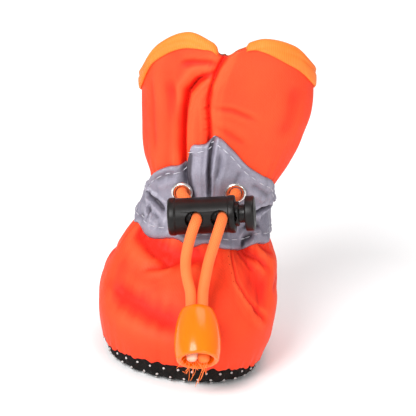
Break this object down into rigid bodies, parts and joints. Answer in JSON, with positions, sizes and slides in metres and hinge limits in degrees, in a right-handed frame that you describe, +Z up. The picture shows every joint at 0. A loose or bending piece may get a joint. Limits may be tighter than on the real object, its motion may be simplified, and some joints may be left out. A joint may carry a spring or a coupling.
{
  "type": "dog boot",
  "caption": "Soft fabric dog boot with a padded sole, flared shaft, bound collar and a drawcord ankle band closed by a spring cord lock.",
  "frame": {"origin": "on the floor under the middle of the boot", "axes": "+Z up, toe towards -Y, +X to the right of someone who faces the toe"},
  "size_m": [0.0519, 0.0702, 0.0916],
  "materials": {
    "sole_fabric": "black padded anti-slip fabric with small rubber dots",
    "insole_foam": "dark foam board with a fabric face",
    "shell_fabric": "plain-woven coated nylon, soft sheen",
    "band_tape": "grey reflective tape with white topstitching",
    "binding_tape": "light orange folded ribbon, fine rib",
    "eyelet_metal": "nickel-plated pressed ring",
    "lock_plastic": "black moulded plastic, satin",
    "elastic_cord": "braided elastic cord",
    "bell_plastic": "glossy moulded plastic"
  },
  "bodies": {
    "boot": {"sole": "sole_fabric", "insole": "insole_foam", "upper": "shell_fabric", "ankle_band": "band_tape", "collar_binding": "binding_tape", "eyelet_left": "eyelet_metal", "eyelet_right": "eyelet_metal", "cord_lock_barrel": "lock_plastic", "drawcord_left": "elastic_cord", "drawcord_right": "elastic_cord", "cord_end_bell": "bell_plastic"},
    "button": {"cord_lock_plunger": "lock_plastic"}
  },
  "joints": [
    {"name": "button_press", "type": "slide", "parent": "boot", "child": "button", "axis": [-0.9816, 0, -0.1908], "range_m": [0, 0.0022], "stiffness_N_per_m": 1200, "springref_m": -0.001}
  ]
}
